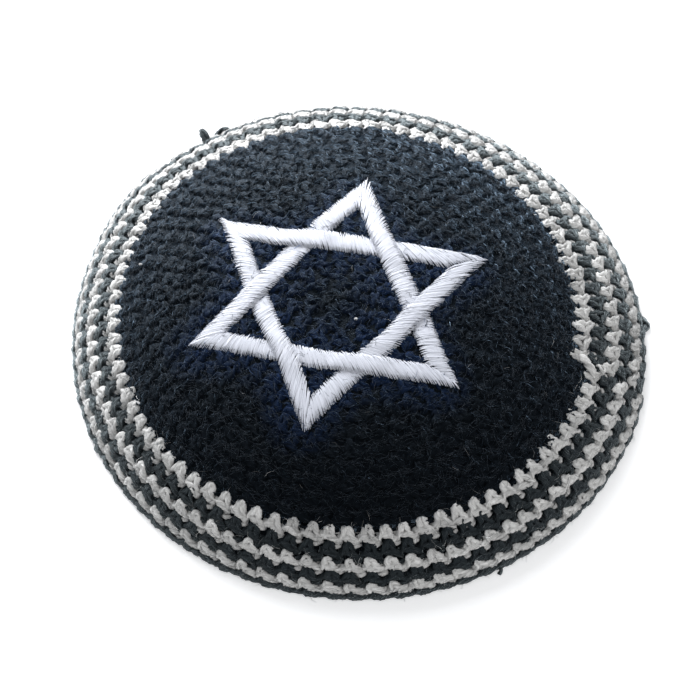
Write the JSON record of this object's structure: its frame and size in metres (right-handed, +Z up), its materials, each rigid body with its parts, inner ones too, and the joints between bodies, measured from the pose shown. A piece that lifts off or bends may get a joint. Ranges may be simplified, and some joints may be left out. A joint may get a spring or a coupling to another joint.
{
  "type": "kippah skullcap",
  "caption": "Soft crocheted skullcap: a low dark dome worked in a spiral, light and dark rounds at its rim, and an interlaced Star of David in white satin stitch on top.",
  "frame": {"origin": "on the surface that the rim rests on, under the middle of the rim", "axes": "+Z up through the crown; +X to the wearer's right as pictured, with the border's jog near +X; +Y away from the camera"},
  "size_m": [0.157, 0.1629, 0.0303],
  "materials": {
    "black_yarn": "matte fuzzy crochet yarn, near black",
    "grey_yarn": "matte fuzzy crochet yarn, light warm grey",
    "white_thread": "glossy satin-stitch embroidery thread, white"
  },
  "bodies": {
    "root": {"crown": "black_yarn", "grey_round_1": "grey_yarn", "black_round_1": "black_yarn", "grey_round_2": "grey_yarn", "black_round_2": "black_yarn", "grey_round_3": "grey_yarn", "edge_round": "black_yarn", "star_triangle_a": "white_thread", "star_triangle_b": "white_thread"}
  },
  "joints": []
}
